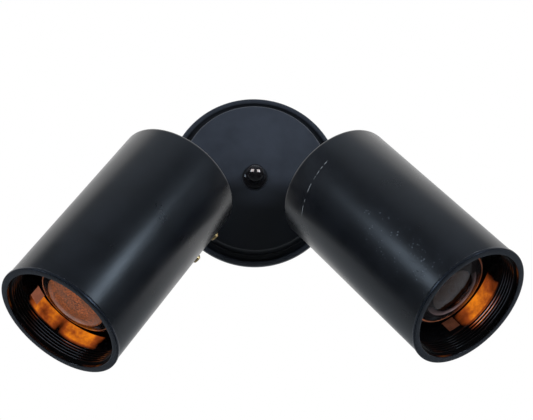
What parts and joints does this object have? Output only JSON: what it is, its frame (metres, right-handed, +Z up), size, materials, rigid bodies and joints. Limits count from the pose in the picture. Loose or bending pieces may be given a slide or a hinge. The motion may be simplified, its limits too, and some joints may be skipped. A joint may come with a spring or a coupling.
{
  "type": "pivoting spotlight wall light",
  "caption": "Wall light with cylindrical spotlight heads on pan-and-tilt swivels from a round canopy, each with a ribbed black baffle and a reflector lamp.",
  "frame": {"origin": "centre of the canopy on the wall, midway between the mounting bar's slots", "axes": "+Y into the wall, the light stands off it towards -Y; +Z up; +X to the right seen from the room; the bar's slots lie along X"},
  "size_m": [0.3363, 0.1845, 0.2234],
  "materials": {
    "black_paint": "satin",
    "black_gloss": "gloss",
    "baffle_black": "gloss",
    "gasket_foam": "matt",
    "zinc_steel": "zinc plated",
    "green_screw": "gloss",
    "fibre": "matt",
    "copper_spring": "satin",
    "brass": "satin",
    "porcelain": "glazed",
    "lamp_cap_metal": "bright",
    "cap_insulator": "gloss",
    "solder": "dull",
    "lamp_glass": "frosted"
  },
  "bodies": {
    "canopy": {"canopy_pan": "black_paint", "wall_gasket": "gasket_foam", "mounting_bar": "zinc_steel", "ground_screw": "green_screw", "centre_nipple": "zinc_steel", "nipple_locknut": "zinc_steel", "cap_washer": "black_paint", "cap_ball": "black_gloss", "pan_washer_left": "fibre", "pan_washer_right": "fibre"},
    "swivel_left": {"swivel_base_left": "black_paint", "pan_spring_washer_left": "zinc_steel", "pan_locknut_left": "zinc_steel", "tilt_friction_washer_left": "fibre", "tilt_spring_washer_left": "zinc_steel", "tilt_screw_left": "black_gloss", "tilt_nut_left": "black_gloss"},
    "head_left": {"swivel_arm_left": "black_paint", "arm_tooth_washer_left": "zinc_steel", "arm_locknut_left": "zinc_steel", "can_left": "black_paint", "baffle_left": "baffle_black", "baffle_clips_left": "copper_spring", "socket_bracket_left": "zinc_steel", "bracket_screws_left": "brass", "socket_nipple_left": "zinc_steel", "socket_locknuts_left": "brass", "socket_body_left": "porcelain", "screw_shell_left": "brass", "centre_contact_left": "brass", "lamp_cap_left": "lamp_cap_metal", "lamp_cap_insulator_left": "cap_insulator", "lamp_tip_left": "solder", "lamp_glass_left": "lamp_glass"},
    "swivel_right": {"swivel_base_right": "black_paint", "pan_spring_washer_right": "zinc_steel", "pan_locknut_right": "zinc_steel", "tilt_friction_washer_right": "fibre", "tilt_spring_washer_right": "zinc_steel", "tilt_screw_right": "black_gloss", "tilt_nut_right": "black_gloss"},
    "head_right": {"swivel_arm_right": "black_paint", "arm_tooth_washer_right": "zinc_steel", "arm_locknut_right": "zinc_steel", "can_right": "black_paint", "baffle_right": "baffle_black", "baffle_clips_right": "copper_spring", "socket_bracket_right": "zinc_steel", "bracket_screws_right": "brass", "socket_nipple_right": "zinc_steel", "socket_locknuts_right": "brass", "socket_body_right": "porcelain", "screw_shell_right": "brass", "centre_contact_right": "brass", "lamp_cap_right": "lamp_cap_metal", "lamp_cap_insulator_right": "cap_insulator", "lamp_tip_right": "solder", "lamp_glass_right": "lamp_glass"}
  },
  "joints": [
    {"name": "pan_left", "type": "hinge", "parent": "canopy", "child": "swivel_left", "pos_m": [-0.0428, 0, 0], "axis": [0, 1, 0], "range_deg": [-15.5, 134.5]},
    {"name": "tilt_left", "type": "hinge", "parent": "swivel_left", "child": "head_left", "pos_m": [-0.0428, -0.06, 0], "axis": [0.8616, 0, -0.5075], "range_deg": [-45, 20]},
    {"name": "pan_right", "type": "hinge", "parent": "canopy", "child": "swivel_right", "pos_m": [0.0428, 0, 0], "axis": [0, -1, 0], "range_deg": [-26.7, 123.3]},
    {"name": "tilt_right", "type": "hinge", "parent": "swivel_right", "child": "head_right", "pos_m": [0.0428, -0.06, 0], "axis": [0.7466, 0, 0.6652], "range_deg": [-39.4, 25.6]}
  ]
}
